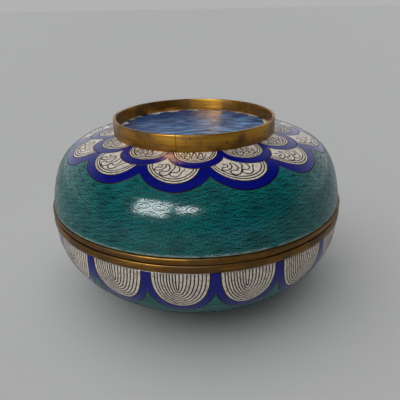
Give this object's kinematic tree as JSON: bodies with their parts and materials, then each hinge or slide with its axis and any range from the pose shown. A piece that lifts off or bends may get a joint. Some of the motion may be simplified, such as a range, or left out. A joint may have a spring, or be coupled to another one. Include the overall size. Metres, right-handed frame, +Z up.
{
  "type": "cloisonne enamel box",
  "caption": "Round lidded enamel box: low bowl on a foot ring, domed lid with a raised crown ring, brass bands at the seam; the lid lifts off.",
  "frame": {"origin": "centre of the foot ring's underside", "axes": "+Z up along the box's axis; the box is round, so +X and +Y are free"},
  "size_m": [0.2, 0.2, 0.1243],
  "materials": {
    "enamel": "glossy",
    "brass": "satin"
  },
  "bodies": {
    "root": {"base_bowl": "enamel", "base_rim": "brass", "base_foot": "brass", "lid_dome": "enamel", "lid_rim": "brass", "lid_ring": "brass"}
  },
  "joints": []
}
